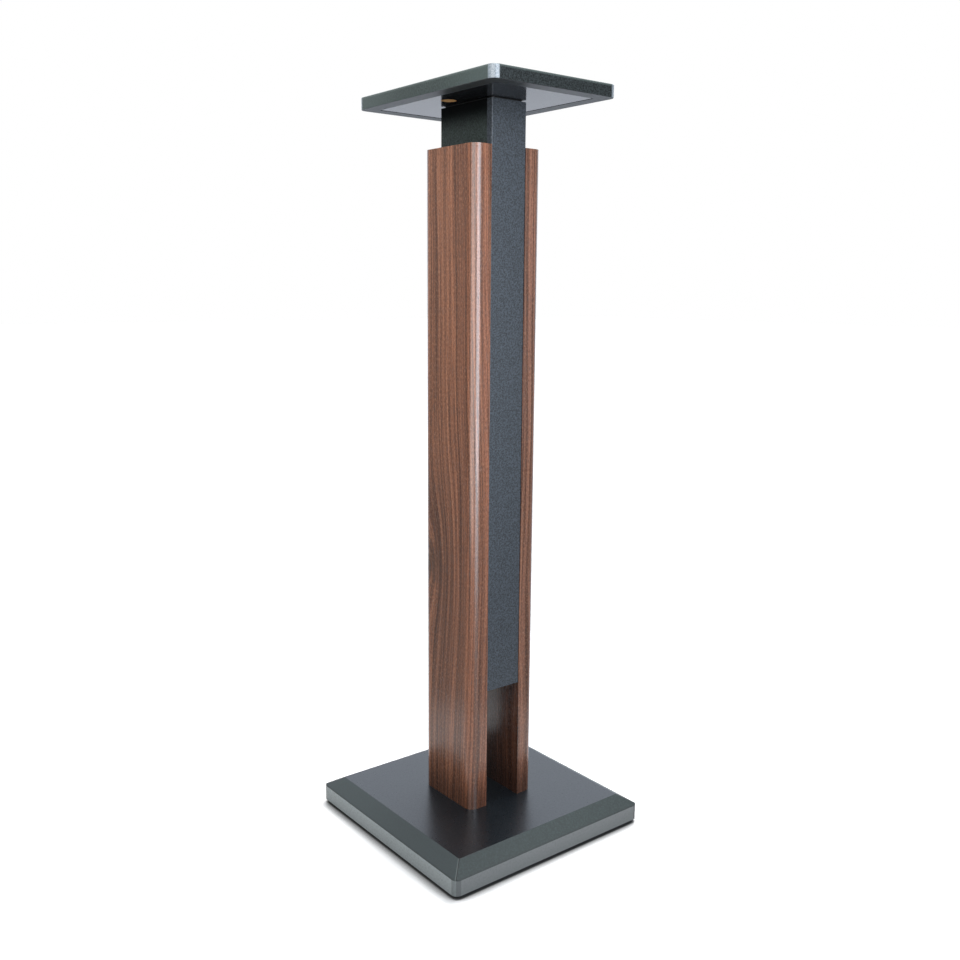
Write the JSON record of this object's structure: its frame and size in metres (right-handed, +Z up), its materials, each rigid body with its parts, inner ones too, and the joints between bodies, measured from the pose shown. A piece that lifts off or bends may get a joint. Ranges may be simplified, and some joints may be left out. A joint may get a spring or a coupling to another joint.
{
  "type": "speaker stand",
  "caption": "Tall floor stand for a small loudspeaker: square bevelled base on levelling feet, walnut side panels round a black cable channel, flat rectangular platform.",
  "frame": {"origin": "on the floor, under the centre of the base and on the column's axis", "axes": "+Z up, -Y out of the channel's closed front, +X to the right seen from the front"},
  "size_m": [0.298, 0.298, 0.914],
  "materials": {
    "walnut_board": "walnut-pattern foil on fibreboard, semi-gloss",
    "black_vinyl_board": "black vinyl on fibreboard, satin",
    "textured_black_board": "black leather-grain vinyl on fibreboard",
    "platform_black": "black foil on fibreboard, satin",
    "platform_underside": "smooth glossy black sheet",
    "bare_board": "bare fibreboard",
    "beech": "plain beech",
    "zinc_steel": "zinc plated",
    "black_steel": "blackened",
    "painted_steel": "black powder coat",
    "brass": "plain",
    "nylon": "moulded black",
    "rubber": "matt"
  },
  "bodies": {
    "stand": {"base_board": "black_vinyl_board", "base_bolts": "black_steel", "base_washers": "zinc_steel", "panel_bottom_inserts": "zinc_steel", "base_dowels": "beech", "foot_inserts": "zinc_steel", "left_side_panel": "walnut_board", "right_side_panel": "walnut_board", "channel_left_board": "textured_black_board", "channel_right_board": "textured_black_board", "channel_front_board": "textured_black_board", "channel_rear_cover": "textured_black_board", "channel_top_block": "bare_board", "channel_bottom_block": "bare_board", "rear_cover_screws": "black_steel", "side_bolts": "zinc_steel", "side_washers": "zinc_steel", "side_panel_inserts": "zinc_steel", "top_fixing_plate": "painted_steel", "top_bolts": "zinc_steel", "top_washers": "zinc_steel", "platform_inserts": "brass", "platform_backing": "platform_underside", "platform_board": "platform_black"},
    "foot_front_left_glide": {"foot_front_left_pad": "nylon", "foot_front_left_sole": "rubber"},
    "foot_front_left_screw": {"foot_front_left_stem": "zinc_steel"},
    "foot_front_right_glide": {"foot_front_right_pad": "nylon", "foot_front_right_sole": "rubber"},
    "foot_front_right_screw": {"foot_front_right_stem": "zinc_steel"},
    "foot_rear_left_glide": {"foot_rear_left_pad": "nylon", "foot_rear_left_sole": "rubber"},
    "foot_rear_left_screw": {"foot_rear_left_stem": "zinc_steel"},
    "foot_rear_right_glide": {"foot_rear_right_pad": "nylon", "foot_rear_right_sole": "rubber"},
    "foot_rear_right_screw": {"foot_rear_right_stem": "zinc_steel"}
  },
  "joints": [
    {"name": "foot_front_left_travel", "type": "slide", "parent": "stand", "child": "foot_front_left_glide", "axis": [0, 0, -1], "range_m": [0, 0.008]},
    {"name": "foot_front_left_turn", "type": "hinge", "parent": "foot_front_left_glide", "child": "foot_front_left_screw", "pos_m": [-0.117, -0.117, 0], "axis": [0, 0, -1], "range_deg": [0, 2880]},
    {"name": "foot_front_right_travel", "type": "slide", "parent": "stand", "child": "foot_front_right_glide", "axis": [0, 0, -1], "range_m": [0, 0.008]},
    {"name": "foot_front_right_turn", "type": "hinge", "parent": "foot_front_right_glide", "child": "foot_front_right_screw", "pos_m": [0.117, -0.117, 0], "axis": [0, 0, -1], "range_deg": [0, 2880]},
    {"name": "foot_rear_left_travel", "type": "slide", "parent": "stand", "child": "foot_rear_left_glide", "axis": [0, 0, -1], "range_m": [0, 0.008]},
    {"name": "foot_rear_left_turn", "type": "hinge", "parent": "foot_rear_left_glide", "child": "foot_rear_left_screw", "pos_m": [-0.117, 0.117, 0], "axis": [0, 0, -1], "range_deg": [0, 2880]},
    {"name": "foot_rear_right_travel", "type": "slide", "parent": "stand", "child": "foot_rear_right_glide", "axis": [0, 0, -1], "range_m": [0, 0.008]},
    {"name": "foot_rear_right_turn", "type": "hinge", "parent": "foot_rear_right_glide", "child": "foot_rear_right_screw", "pos_m": [0.117, 0.117, 0], "axis": [0, 0, -1], "range_deg": [0, 2880]}
  ],
  "couplings": [
    {"joint": "foot_front_left_turn", "follows": "foot_front_left_travel", "rad_per_m": 6283.2},
    {"joint": "foot_front_right_turn", "follows": "foot_front_right_travel", "rad_per_m": 6283.2},
    {"joint": "foot_rear_left_turn", "follows": "foot_rear_left_travel", "rad_per_m": 6283.2},
    {"joint": "foot_rear_right_turn", "follows": "foot_rear_right_travel", "rad_per_m": 6283.2}
  ]
}
